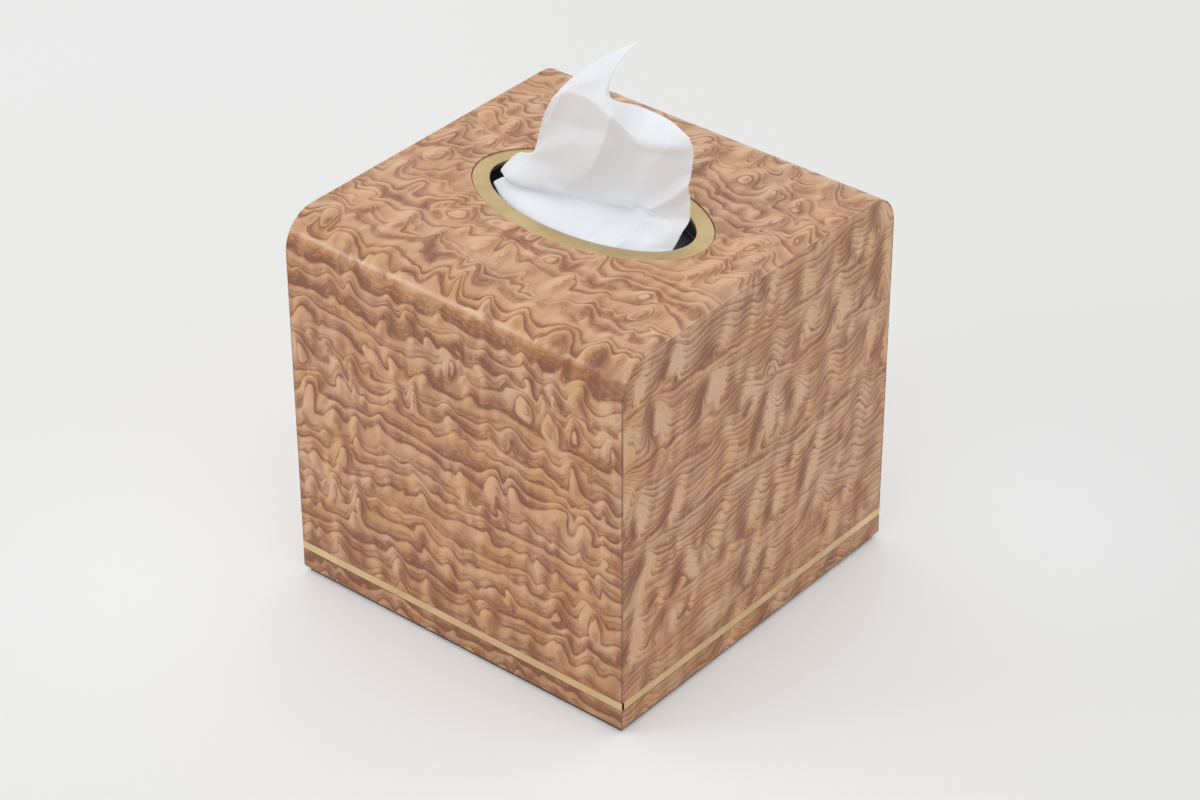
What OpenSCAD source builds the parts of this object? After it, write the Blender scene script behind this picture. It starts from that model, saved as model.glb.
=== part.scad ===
// Cube tissue box cover in figured veneer, with brass trim, its lift-out base and its refill
// Origin: centre of the underside, on the surface it stands on. +Z up, -Y is the front face.

/* [Body] */
// Width of the cover, left to right
body_w = 140; // [134:1:160]
// Depth of the cover, front to back
body_d = 140; // [134:1:160]
// Height of the cover, from the surface to the top face
body_h = 140; // [136:1:170]
// Radius of the rounded front and back top edges
edge_r = 13; // [9:0.5:16]
// Thickness of the fibreboard panels
panel_t = 6; // [5:0.5:7]
// Thickness of the veneer
veneer_t = 0.6; // [0.4:0.1:1]
// Thickness of the lining inside
lining_t = 1; // [0.6:0.1:1.5]

/* [Opening] */
// Half length of the brass ring, to its outer edge
ring_a = 46; // [44:0.5:50]
// Half width of the brass ring, to its outer edge
ring_b = 26; // [25:0.5:30]
// Width of the brass band
ring_band = 6; // [4:0.5:6.5]
// Thickness of the brass ring
ring_t = 1.5; // [1:0.1:2.5]
// How far the ring lies below the top face
ring_recess = 0.25; // [0.1:0.05:0.5]
// Gap round the ring in its rebate
ring_gap = 0.2; // [0.1:0.05:0.4]
// How far the opening's wall stands back behind the ring's inner edge
throat_gap = 0.25; // [0:0.05:1]

/* [Plinth and brass line] */
// Height of the plinth rails
rail_h = 8.6; // [8:0.1:12]
// Thickness of the plinth rails
rail_t = 5.6; // [5:0.1:6.5]
// Radius of the rails' lower outer edge
rail_r = 2; // [0.5:0.1:2.5]
// Height of the brass line
strip_h = 3.2; // [2:0.1:5]
// Thickness of the brass strips
strip_t = 1.5; // [1:0.1:2]
// Shadow gap above and below the brass strips
strip_gap = 0.1; // [0.05:0.05:0.2]
// Open notch where two strips meet at the front right corner
notch_w = 1.15; // [0.2:0.05:2]
// Thickness of the felt under the rails and the base
felt_t = 1; // [0.6:0.1:2]
// Width of the felt under the rails
rim_felt_w = 2.5; // [1.5:0.1:3]
// How far the felt under the rails stands in from their outer faces
rim_felt_inset = 1.4; // [1:0.1:2]

/* [Base] */
// Thickness of the base board
base_t = 8; // [7:0.5:8.5]
// Gap between the base board and the rails
base_gap = 0.4; // [0.2:0.1:1]
// How far the base felt stands in from the base board's edge
base_felt_inset = 2.5; // [1:0.5:6]
// Diameter of the magnets
magnet_d = 5; // [4:0.5:6]
// Thickness of the magnets
magnet_t = 3; // [2:0.5:3.5]

/* [Refill] */
// Width and depth of the carton
carton_w = 112; // [105:1:113]
// Height of the carton
carton_h = 121; // [110:1:121]
// Thickness of the carton's card
card_t = 0.6; // [0.4:0.1:1]
// Half length of the carton's slot
slot_a = 31; // [28:0.5:36]
// Half width of the carton's slot
slot_b = 15; // [13:0.5:18]
// Gap between the stack of tissues and the carton's walls
stack_gap = 1.2; // [0.5:0.1:3]
// Space above the stack, inside the carton
stack_headroom = 17; // [10:1:40]
// Radius of the folded edges of the stack
stack_r = 3; // [1:0.5:6]

/* [Drawn sheet] */
// How far the sheet's tip stands above the top face
sheet_rise = 56; // [40:1:90]
// Thickness of the sheet's solid
sheet_t = 0.7; // [0.5:0.1:0.9]
// Least gap between the sheet and the openings it passes through
sheet_gap = 0.5; // [0.3:0.1:1.5]
// Gap between the sheet's foot and the stack
sheet_foot_gap = 0.3; // [0.2:0.1:1]

/* [Hidden] */

$fn = 96;
// Sides of the polygon that stands for each ellipse
oval_sides = 144;
// How far a cut runs past the face it opens
over = 2;

half_w = body_w / 2;
half_d = body_d / 2;
// Carcass: the fibreboard box that carries the veneer
core_w = half_w - veneer_t;
core_d = half_d - veneer_t;
core_top = body_h - veneer_t;
inner_w = core_w - panel_t;
inner_d = core_d - panel_t;
room_w = inner_w - lining_t;
room_d = inner_d - lining_t;
panel_under = core_top - panel_t;
ceiling_z = panel_under - lining_t;
// Where the rounded edges begin, along the front and back walls and along the top
round_z = body_h - edge_r;
round_y = half_d - edge_r;
// Brass line and plinth
rail_top = felt_t + rail_h;
strip_top = rail_top + strip_h;
rail_in_w = half_w - rail_t;
rail_in_d = half_d - rail_t;
magnet_z = felt_t + base_t / 2;
// Ring and opening
ring_top = body_h - ring_recess;
ring_floor = ring_top - ring_t;
open_a = ring_a - ring_band;
open_b = ring_b - ring_band;
// Base and refill
base_w = rail_in_w - base_gap;
base_d = rail_in_d - base_gap;
base_top = felt_t + base_t;
carton_top = base_top + carton_h;
stack_w = carton_w - 2 * (card_t + stack_gap);
stack_floor = base_top + card_t;
stack_top = carton_top - card_t - stack_headroom;

// Ellipse as a list of points
function oval(a, b) = [for (i = [0:oval_sides - 1]) [a * cos(360 * i / oval_sides), b * sin(360 * i / oval_sides)]];

module oval_prism(a, b, low, high) {
    translate([0, 0, low]) linear_extrude(high - low) polygon(oval(a, b));
}

// Block from its half width, half depth and two heights
module block(hw, hd, low, high) {
    translate([-hw, -hd, low]) cube([2 * hw, 2 * hd, high - low]);
}

// Front-to-back section with rounded top corners, drawn in from the outer faces by inset
module side_outline(inset, low) {
    translate([inset - half_d, low]) square([2 * (half_d - inset), round_z - low]);
    translate([-round_y, low]) square([2 * round_y, body_h - inset - low]);
    for (s = [-1, 1]) translate([s * round_y, round_z]) circle(edge_r - inset);
}

// Extrudes a front-to-back section along X
module along_x(from, to) {
    translate([from, 0, 0]) rotate([90, 0, 90]) linear_extrude(to - from) children();
}

// Puts a piece made for the right side on the side that faces the given direction
module to_side(side) {
    turn = side == "right" ? 0 : side == "back" ? 90 : side == "left" ? 180 : 270;
    rotate([0, 0, turn]) children();
}

// Half width across and half length along a side, as seen from the piece made for the right side
function across(side) = side == "right" || side == "left" ? half_w : half_d;
function along(side) = side == "right" || side == "left" ? half_d : half_w;

// Mitred bar in plan, on the right side, with an open notch at its front end
module mitred_bar(out, length, thick, notch, low, high) {
    translate([0, 0, low]) linear_extrude(high - low)
        polygon([[out, notch - length], [out, length], [out - thick, length - thick],
            [out - thick, thick + notch - length]]);
}

// Rebate round the foot of the carcass that holds the brass strips
module strip_rebate() {
    difference() {
        block(half_w + over, half_d + over, rail_top - over, strip_top);
        block(half_w - strip_t, half_d - strip_t, rail_top - 2 * over, strip_top + over);
    }
}

// Fibreboard carcass

module end_panel(side) {
    mirror([side == "left" ? 1 : 0, 0, 0]) difference() {
        along_x(inner_w, core_w) side_outline(veneer_t, rail_top);
        strip_rebate();
    }
}

module wall_panel(side) {
    mirror([0, side == "front" ? 1 : 0, 0]) difference() {
        translate([-inner_w, inner_d, rail_top]) cube([2 * inner_w, panel_t, round_z - rail_top]);
        strip_rebate();
    }
}

module top_panel() {
    color("#3a3230") difference() {
        block(inner_w, round_y, panel_under, core_top);
        oval_prism(ring_a + ring_gap, ring_b + ring_gap, ring_floor, core_top + over);
        oval_prism(open_a + throat_gap, open_b + throat_gap, panel_under - over, core_top + over);
    }
}

// Corner moulding: quarter round outside, square inside to take the two linings
module edge_moulding(side) {
    corner = edge_r - veneer_t;
    mirror([0, side == "front" ? 1 : 0, 0]) along_x(-inner_w, inner_w) difference() {
        intersection() {
            translate([round_y, round_z]) square(corner);
            translate([round_y, round_z]) circle(corner);
        }
        translate([round_y - over, round_z - over]) square([inner_d - round_y + over, panel_under - round_z + over]);
    }
}

module front_panel() { color("#9a7a58") wall_panel("front"); }
module back_panel() { color("#9a7a58") wall_panel("back"); }
module left_panel() { color("#9a7a58") end_panel("left"); }
module right_panel() { color("#9a7a58") end_panel("right"); }
module front_edge_moulding() { color("#b08a60") edge_moulding("front"); }
module back_edge_moulding() { color("#b08a60") edge_moulding("back"); }

// Veneer: one sheet wraps the front, top and back, and one closes each end

module wrap_veneer() {
    color("#c49a70") difference() {
        along_x(-half_w, half_w) side_outline(0, strip_top);
        along_x(-half_w - over, half_w + over) side_outline(veneer_t, strip_top - over);
        oval_prism(ring_a + ring_gap, ring_b + ring_gap, core_top - over, body_h + over);
    }
}

module end_veneer(side) {
    mirror([side == "left" ? 1 : 0, 0, 0]) along_x(core_w, half_w) side_outline(veneer_t, strip_top);
}

module left_veneer() { color("#b98e64") end_veneer("left"); }
module right_veneer() { color("#b98e64") end_veneer("right"); }

// Brass line

module brass_strip(side) {
    color("#c8ad74") to_side(side) mitred_bar(across(side), along(side), strip_t,
        side == "right" ? notch_w : 0, rail_top + strip_gap, strip_top - strip_gap);
}

module front_brass_strip() { brass_strip("front"); }
module back_brass_strip() { brass_strip("back"); }
module left_brass_strip() { brass_strip("left"); }
module right_brass_strip() { brass_strip("right"); }

// Plinth rails: solid, mitred, with a rounded lower edge and a pocket for one magnet

module rail_section(out) {
    translate([out - rail_t, felt_t]) square([rail_t - rail_r, rail_h]);
    translate([out - rail_t, felt_t + rail_r]) square([rail_t, rail_h - rail_r]);
    translate([out - rail_r, felt_t + rail_r]) circle(rail_r);
}

module rail_magnet(side, extra) {
    to_side(side) translate([across(side) - rail_t - extra, 0, magnet_z])
        rotate([0, 90, 0]) cylinder(h = magnet_t + extra, d = magnet_d);
}

module plinth_rail(side) {
    color("#b98e64") difference() {
        intersection() {
            to_side(side) rotate([90, 0, 0]) linear_extrude(2 * along(side), center = true)
                rail_section(across(side));
            to_side(side) mitred_bar(across(side), along(side), rail_t, 0, 0, strip_top);
        }
        rail_magnet(side, over);
    }
}

module front_plinth_rail() { plinth_rail("front"); }
module back_plinth_rail() { plinth_rail("back"); }
module left_plinth_rail() { plinth_rail("left"); }
module right_plinth_rail() { plinth_rail("right"); }

module rail_magnets() {
    color("silver") for (side = ["front", "back", "left", "right"]) rail_magnet(side, 0);
}

// Felt strip under the rails
module rim_felt() {
    out_w = half_w - rim_felt_inset;
    out_d = half_d - rim_felt_inset;
    color("#1c1b1a") difference() {
        block(out_w, out_d, 0, felt_t);
        block(out_w - rim_felt_w, out_d - rim_felt_w, -over, felt_t + over);
    }
}

// Brass ring in its rebate
module opening_ring() {
    color("#c8b27c") difference() {
        oval_prism(ring_a, ring_b, ring_floor, ring_top);
        oval_prism(open_a, open_b, ring_floor - over, ring_top + over);
    }
}

// Lining

module ceiling_lining() {
    color("#141414") difference() {
        block(inner_w, inner_d, ceiling_z, panel_under);
        oval_prism(open_a + throat_gap, open_b + throat_gap, ceiling_z - over, panel_under + over);
    }
}

module wall_lining(side) {
    mirror([0, side == "front" ? 1 : 0, 0])
        translate([-inner_w, room_d, rail_top]) cube([2 * inner_w, lining_t, ceiling_z - rail_top]);
}

module end_lining(side) {
    mirror([side == "left" ? 1 : 0, 0, 0])
        translate([room_w, -room_d, rail_top]) cube([lining_t, 2 * room_d, ceiling_z - rail_top]);
}

module front_lining() { color("#141414") wall_lining("front"); }
module back_lining() { color("#141414") wall_lining("back"); }
module left_lining() { color("#141414") end_lining("left"); }
module right_lining() { color("#141414") end_lining("right"); }

// Base board that stays down when the cover is lifted

module base_magnet(side, extra) {
    edge = side == "right" || side == "left" ? base_w : base_d;
    to_side(side) translate([edge - magnet_t, 0, magnet_z])
        rotate([0, 90, 0]) cylinder(h = magnet_t + extra, d = magnet_d);
}

module base_panel() {
    color("#1e1d1d") difference() {
        block(base_w, base_d, felt_t, base_top);
        for (side = ["front", "back", "left", "right"]) base_magnet(side, over);
    }
}

module base_magnets() {
    color("silver") for (side = ["front", "back", "left", "right"]) base_magnet(side, 0);
}

module base_felt() {
    color("#1c1b1a") block(base_w - base_felt_inset, base_d - base_felt_inset, 0, felt_t);
}

// Refill: a dark card carton with an oval slot, and the folded sheets in it

module carton() {
    color("#2b2c38") difference() {
        block(carton_w / 2, carton_w / 2, base_top, carton_top);
        block(carton_w / 2 - card_t, carton_w / 2 - card_t, base_top + card_t, carton_top - card_t);
        oval_prism(slot_a, slot_b, carton_top - card_t - over, carton_top + over);
    }
}

module tissue_stack() {
    straight = stack_w / 2 - stack_r;
    color("#eceef4") intersection() {
        block(stack_w / 2, stack_w / 2, stack_floor, stack_top);
        along_x(-stack_w / 2, stack_w / 2) union() {
            translate([-straight, stack_floor]) square([2 * straight, stack_top - stack_floor]);
            translate([-stack_w / 2, stack_floor + stack_r])
                square([stack_w, stack_top - stack_floor - 2 * stack_r]);
            for (s = [-1, 1], z = [stack_floor + stack_r, stack_top - stack_r])
                translate([s * straight, z]) circle(stack_r);
        }
    }
}

// Drawn sheet: rows of places, from the foot up, each row from the left edge to the right edge.
// Foot rows are shares of the slot's half length, its half width and the depth below the top face.
sheet_foot_shares = [
    [[-0.90, 0.00, -1.00], [-0.60, 0.12, -1.00], [-0.30, -0.10, -1.00], [0.00, 0.08, -1.00],
        [0.30, -0.12, -1.00], [0.60, 0.10, -1.00], [0.90, 0.00, -1.00]],
    [[-0.90, -0.02, -0.70], [-0.60, -0.15, -0.70], [-0.30, 0.05, -0.70], [0.00, -0.20, -0.70],
        [0.30, 0.00, -0.70], [0.60, -0.20, -0.70], [0.90, 0.00, -0.70]],
    [[-0.94, -0.14, -0.42], [-0.63, -0.45, -0.42], [-0.32, -0.45, -0.42], [0.00, -0.66, -0.42],
        [0.32, -0.46, -0.42], [0.63, -0.50, -0.42], [0.94, -0.10, -0.42]]];
// Apron rows lie in the opening, below the top face: shares of the opening's half length and width
// and of the depth below the top face.
sheet_apron_shares = [
    [[-0.90, -0.38, -0.13], [-0.67, -0.65, -0.16], [-0.34, -0.85, -0.17], [0.00, -0.91, -0.17],
        [0.34, -0.87, -0.17], [0.66, -0.67, -0.16], [0.90, -0.30, -0.13]],
    [[-0.90, -0.24, -0.07], [-0.66, -0.45, -0.08], [-0.34, -0.54, -0.08], [0.00, -0.50, -0.08],
        [0.34, -0.46, -0.07], [0.69, -0.48, -0.04], [0.93, -0.18, -0.06]],
    [[-0.85, -0.14, -0.04], [-0.58, -0.17, -0.05], [-0.30, -0.10, -0.05], [-0.03, 0.04, -0.05],
        [0.31, 0.30, -0.05], [0.67, -0.24, 0.00], [0.95, -0.02, 0.05]]];
// Standing rows rise above the top face: shares of the opening's half length and width and of the rise.
sheet_standing_shares = [
    [[-0.88, -0.25, 0.03], [-0.71, -0.39, 0.02], [-0.39, -0.26, 0.035], [-0.09, -0.10, 0.05],
        [0.31, 0.16, 0.04], [0.59, 0.09, 0.09], [0.97, 0.12, 0.13]],
    [[-0.77, -0.04, 0.14], [-0.60, -0.09, 0.14], [-0.33, -0.16, 0.17], [0.03, -0.13, 0.23],
        [0.33, 0.15, 0.21], [0.63, 0.13, 0.26], [0.93, 0.26, 0.32]],
    [[-0.64, 0.02, 0.15], [-0.44, -0.10, 0.28], [-0.20, -0.11, 0.31], [0.13, -0.10, 0.39],
        [0.37, 0.17, 0.31], [0.67, 0.12, 0.39], [0.94, 0.26, 0.44]],
    [[-0.48, -0.08, 0.46], [-0.32, -0.04, 0.46], [-0.07, -0.04, 0.47], [0.19, -0.08, 0.52],
        [0.40, 0.15, 0.42], [0.70, 0.14, 0.47], [0.95, 0.27, 0.51]],
    [[-0.38, -0.06, 0.59], [-0.22, -0.05, 0.68], [0.01, -0.06, 0.69], [0.24, -0.06, 0.63],
        [0.42, 0.12, 0.51], [0.72, 0.14, 0.55], [0.94, 0.27, 0.57]],
    [[-0.20, 0.08, 0.77], [-0.07, 0.03, 0.77], [0.05, 0.05, 0.74], [0.17, 0.06, 0.70],
        [0.31, 0.50, 0.62], [0.63, 0.44, 0.63], [0.89, 0.30, 0.60]],
    [[0.00, 0.46, 0.90], [0.04, 0.31, 0.85], [0.09, 0.19, 0.79], [0.14, 0.13, 0.69],
        [0.28, 0.72, 0.53], [0.58, 0.68, 0.52], [0.77, 0.54, 0.49]],
    [[0.22, 0.70, 1.00], [0.18, 0.41, 0.94], [0.14, 0.23, 0.85], [0.10, 0.24, 0.68],
        [0.23, 0.83, 0.35], [0.51, 0.81, 0.31], [0.68, 0.71, 0.28]]];
// Steps between two rows and between two places of a row
sheet_row_steps = 2;
sheet_col_steps = 3;

sheet_depth = body_h - stack_top - sheet_foot_gap - sheet_t / 2;
sheet_fit = sheet_gap + sheet_t / 2;
// Scales a row of shares to real places
function placed(rows, a, b, unit) = [for (row = rows) [for (p = row)
    [p[0] * (a - sheet_fit), p[1] * (b - sheet_fit), body_h + p[2] * (p[2] < 0 ? sheet_depth : unit)]]];
sheet_rows = concat(placed(sheet_foot_shares, slot_a, slot_b, sheet_rise),
    placed(sheet_apron_shares, open_a, open_b, sheet_rise),
    placed(sheet_standing_shares, open_a, open_b, sheet_rise));

// Smooth curve through four neighbouring places, between the middle two
function smooth(a, b, c, d, t) = b + t / 2 * ((c - a) + t * ((2 * a - 5 * b + 4 * c - d) + t * (3 * (b - c) + d - a)));
function held(i, n) = min(max(i, 0), n - 1);
function on_list(p, t) = let (i = min(floor(t), len(p) - 2), n = len(p))
    smooth(p[held(i - 1, n)], p[i], p[i + 1], p[held(i + 2, n)], t - i);
function sheet_at(u, v) = on_list([for (row = sheet_rows) on_list(row, u)], v);
sheet_cols_n = (len(sheet_rows[0]) - 1) * sheet_col_steps + 1;
sheet_rows_n = (len(sheet_rows) - 1) * sheet_row_steps + 1;
sheet_grid = [for (j = [0:sheet_rows_n - 1]) [for (i = [0:sheet_cols_n - 1])
    sheet_at(i / sheet_col_steps, j / sheet_row_steps)]];

// Unit normal of the sheet at one point of its grid
function sheet_normal(i, j) = let (n = cross(
        sheet_grid[j][held(i + 1, sheet_cols_n)] - sheet_grid[j][held(i - 1, sheet_cols_n)],
        sheet_grid[held(j + 1, sheet_rows_n)][i] - sheet_grid[held(j - 1, sheet_rows_n)][i])) n / norm(n);
// Points of one face of the sheet, half its thickness from the middle
function sheet_face(side) = [for (j = [0:sheet_rows_n - 1], i = [0:sheet_cols_n - 1])
    sheet_grid[j][i] + side * sheet_t / 2 * sheet_normal(i, j)];
function at(i, j, side) = side * sheet_cols_n * sheet_rows_n + j * sheet_cols_n + i;
// Two triangles of a four-cornered face
function split(a, b, c, d) = [[a, b, c], [a, c, d]];

module tissue_sheet() {
    cols = sheet_cols_n - 1;
    rows = sheet_rows_n - 1;
    broad = [for (j = [0:rows - 1], i = [0:cols - 1]) each concat(
        split(at(i, j, 0), at(i, j + 1, 0), at(i + 1, j + 1, 0), at(i + 1, j, 0)),
        split(at(i, j, 1), at(i + 1, j, 1), at(i + 1, j + 1, 1), at(i, j + 1, 1)))];
    level = [for (i = [0:cols - 1]) each concat(
        split(at(i, 0, 0), at(i + 1, 0, 0), at(i + 1, 0, 1), at(i, 0, 1)),
        split(at(i, rows, 0), at(i, rows, 1), at(i + 1, rows, 1), at(i + 1, rows, 0)))];
    upright = [for (j = [0:rows - 1]) each concat(
        split(at(0, j, 0), at(0, j, 1), at(0, j + 1, 1), at(0, j + 1, 0)),
        split(at(cols, j, 0), at(cols, j + 1, 0), at(cols, j + 1, 1), at(cols, j, 1)))];
    color("#f1f2f8") polyhedron(concat(sheet_face(1), sheet_face(-1)), concat(broad, level, upright));
}

front_panel();
back_panel();
left_panel();
right_panel();
top_panel();
front_edge_moulding();
back_edge_moulding();
wrap_veneer();
left_veneer();
right_veneer();
front_brass_strip();
back_brass_strip();
left_brass_strip();
right_brass_strip();
front_plinth_rail();
back_plinth_rail();
left_plinth_rail();
right_plinth_rail();
opening_ring();
ceiling_lining();
front_lining();
back_lining();
left_lining();
right_lining();
rim_felt();
rail_magnets();
base_panel();
base_felt();
base_magnets();
carton();
tissue_stack();
tissue_sheet();
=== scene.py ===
"""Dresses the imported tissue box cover: figured veneer, satin brass, dark linings, felt and a drawn tissue.

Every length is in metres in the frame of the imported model: +Z up, -Y is the front face.
Inside the veneer's node groups, lengths are in millimetres, the scale of the figure.
"""
import math

import bmesh
import bpy
import numpy as np
from bpy.props import FloatProperty, FloatVectorProperty, IntProperty, PointerProperty
from mathutils import Matrix, Vector, noise


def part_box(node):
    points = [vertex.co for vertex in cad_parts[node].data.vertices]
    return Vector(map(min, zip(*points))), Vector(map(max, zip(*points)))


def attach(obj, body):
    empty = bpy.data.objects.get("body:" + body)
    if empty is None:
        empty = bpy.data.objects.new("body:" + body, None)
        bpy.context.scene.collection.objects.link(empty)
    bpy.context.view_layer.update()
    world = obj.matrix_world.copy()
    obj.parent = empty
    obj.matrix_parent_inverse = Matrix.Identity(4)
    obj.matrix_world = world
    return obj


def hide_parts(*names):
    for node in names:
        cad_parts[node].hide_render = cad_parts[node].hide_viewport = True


bl_info = {
    "name": "Tissue Box Cover",
    "version": (1, 0, 0),
    "blender": (4, 5, 0),
    "location": "3D View > Sidebar > Tissue Box",
    "description": "Dresses a veneered tissue box cover with brass, linings, felt and a drawn tissue",
    "category": "Object",
}

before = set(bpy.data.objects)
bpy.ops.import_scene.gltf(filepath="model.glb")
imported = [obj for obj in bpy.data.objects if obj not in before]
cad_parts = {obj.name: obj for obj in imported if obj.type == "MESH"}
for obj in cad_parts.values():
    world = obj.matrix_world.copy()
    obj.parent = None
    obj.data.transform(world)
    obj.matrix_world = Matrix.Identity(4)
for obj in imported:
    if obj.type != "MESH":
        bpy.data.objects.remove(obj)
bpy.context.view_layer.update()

MM = 0.001
COVER_LOW, COVER_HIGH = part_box("wrap_veneer")
RING_LOW, RING_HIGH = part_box("opening_ring")
CARTON_LOW, CARTON_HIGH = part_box("carton")
STACK_LOW, STACK_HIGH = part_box("tissue_stack")
SHEET_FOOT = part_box("tissue_sheet")[0].z
LINE_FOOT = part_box("front_brass_strip")[0].z
# Half sizes of the oval slot in the carton
SLOT_HALF_LENGTH, SLOT_HALF_WIDTH = 31 * MM, 15 * MM
OVAL_SIDES = 192
SIDES = ("front", "back", "left", "right")


def colour(code):
    """Linear colour of a hex code."""
    values = [int(code[place:place + 2], 16) / 255 for place in (1, 3, 5)]
    return tuple(v / 12.92 if v <= 0.04045 else ((v + 0.055) / 1.055) ** 2.4 for v in values)


def colour_property(name, code, description):
    return FloatVectorProperty(name=name, description=description, subtype="COLOR", size=3,
                               min=0, max=1, default=colour(code))


def length_property(name, value, description):
    return FloatProperty(name=name, description=description, unit="LENGTH", min=0, precision=5,
                         default=value)


def share_property(name, value, description, high=1.0):
    return FloatProperty(name=name, description=description, min=0, max=high, default=value)


class VeneerSettings(bpy.types.PropertyGroup):
    pale: colour_property("Pale wood", "#DFB590", "Colour between two growth rings")
    tan: colour_property("Tan wood", "#CB9B74", "Colour at the foot of a ring's shade")
    brown: colour_property("Brown wood", "#AA744F", "Colour in a ring's shade")
    dark: colour_property("Dark line", "#885437", "Colour of a ring's sharp line")
    warmth: colour_property("Warmth", "#FFF1D6", "Tint of the warmer patches")
    edge: colour_property("Cut edge", "#7E4E38", "Colour of the veneer's cut edge at a corner")
    # The top cut edge's pale colour is partly a painted highlight where the edge catches light
    top_edge_with_painted_highlight: colour_property("Top cut edge", "#E3CBB0", "Colour of the cut edge along the top")
    edge_radius: length_property("Edge radius", 13 * MM, "Radius of the front and back top edges")
    thickness: length_property("Thickness", 0.6 * MM, "Thickness of the wrapped veneer")
    arris: length_property("Arris", 0.12 * MM, "Width of the broken edges")
    calm: length_property("Calm height", 42 * MM, "Height up to which the figure runs calmer")
    roughness: share_property("Roughness", 0.34, "Roughness of the lacquer")


class BrassSettings(bpy.types.PropertyGroup):
    tone: colour_property("Brass", "#DBC394", "Colour of the ring's satin brass")
    dull: colour_property("Dull brass", "#D0B786", "Colour of the ring's brass in duller patches")
    # Painted light: the line is the ring's brass given lighter colours, for the brighter reflection the
    # strips show
    line_tone_painted_light: colour_property("Line brass", "#F5D8AD", "Colour of the brass line")
    line_dull_painted_light: colour_property("Dull line brass", "#EACD9E", "Colour of the line in duller patches")
    band: length_property("Band width", 6 * MM, "Width of the oval ring's band")
    chamfer: length_property("Chamfer", 0.2 * MM, "Broken edge of the ring")
    roughness: share_property("Roughness", 0.36, "Roughness of the satin finish")


class DarkSettings(bpy.types.PropertyGroup):
    lining: colour_property("Lining", "#111113", "Colour of the lining card")
    felt: colour_property("Felt", "#1B1A1A", "Colour of the felt")
    carton: colour_property("Carton", "#47485A", "Colour of the refill carton")
    board: colour_property("Board", "#8C6E50", "Colour of the bare fibreboard")
    card: length_property("Card", 0.6 * MM, "Thickness of the carton's card")


class TissueSettings(bpy.types.PropertyGroup):
    tone: colour_property("Tissue", "#ECEEF2", "Colour of the paper tissue")
    shaded: colour_property("Shaded tissue", "#E9EBF0", "Colour of the paper in cooler patches")
    # Painted light: the paper lights itself by emission, as if light came through it
    painted_glow: share_property("Painted light through", 0.1, "Light that reaches the eye through the thin paper")
    rise: length_property("Rise", 56 * MM, "Height of the sheet's tip above the top face")
    fit: length_property("Fit", 0.85 * MM, "Least gap from the middle of the sheet to the openings")
    thickness: length_property("Thickness", 0.25 * MM, "Thickness of the drawn sheet")
    flat_width: length_property("Flat width", 75 * MM, "Width of the modelled part of the sheet")
    flat_length: length_property("Flat length", 88 * MM, "Length of the modelled part of the sheet")
    layers: IntProperty(name="Layers", description="Folded sheets shown in the stack",
                        min=8, max=80, default=44)


class StageSettings(bpy.types.PropertyGroup):
    floor: colour_property("Floor", "#EEEEEC", "Colour of the floor")
    far_floor: colour_property("Far floor", "#EDECE9", "Colour of the floor in duller patches")
    # Painted light: near the cover the floor is lighter and gives off light seen only from the camera,
    # lifting the cover's shadow
    near_floor_painted_light: colour_property("Near floor", "#F0F0EF", "Colour of the floor round the cover")
    painted_foot_light: share_property("Foot glow", 0.11, "Brightness added to the seen floor at the foot")
    low_sky: colour_property("Low sky", "#FFF4E4", "Colour of the light near the floor")
    high_sky: colour_property("High sky", "#F2F8FF", "Colour of the light overhead")
    lens: FloatProperty(name="Lens", description="Focal length on a 36 mm sensor", default=106.25)
    horizon: share_property("Horizon", 0.25, "Strength of the sky's light near the floor", high=4.0)
    zenith: share_property("Zenith", 1.37, "Strength of the sky's light overhead", high=4.0)
    key: share_property("Key", 0.11, "Light of the key lamp on a surface that faces it", high=4.0)


class TissueBoxSettings(bpy.types.PropertyGroup):
    veneer: PointerProperty(type=VeneerSettings)
    brass: PointerProperty(type=BrassSettings)
    dark: PointerProperty(type=DarkSettings)
    tissue: PointerProperty(type=TissueSettings)
    stage: PointerProperty(type=StageSettings)


# Wiring of materials

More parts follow.
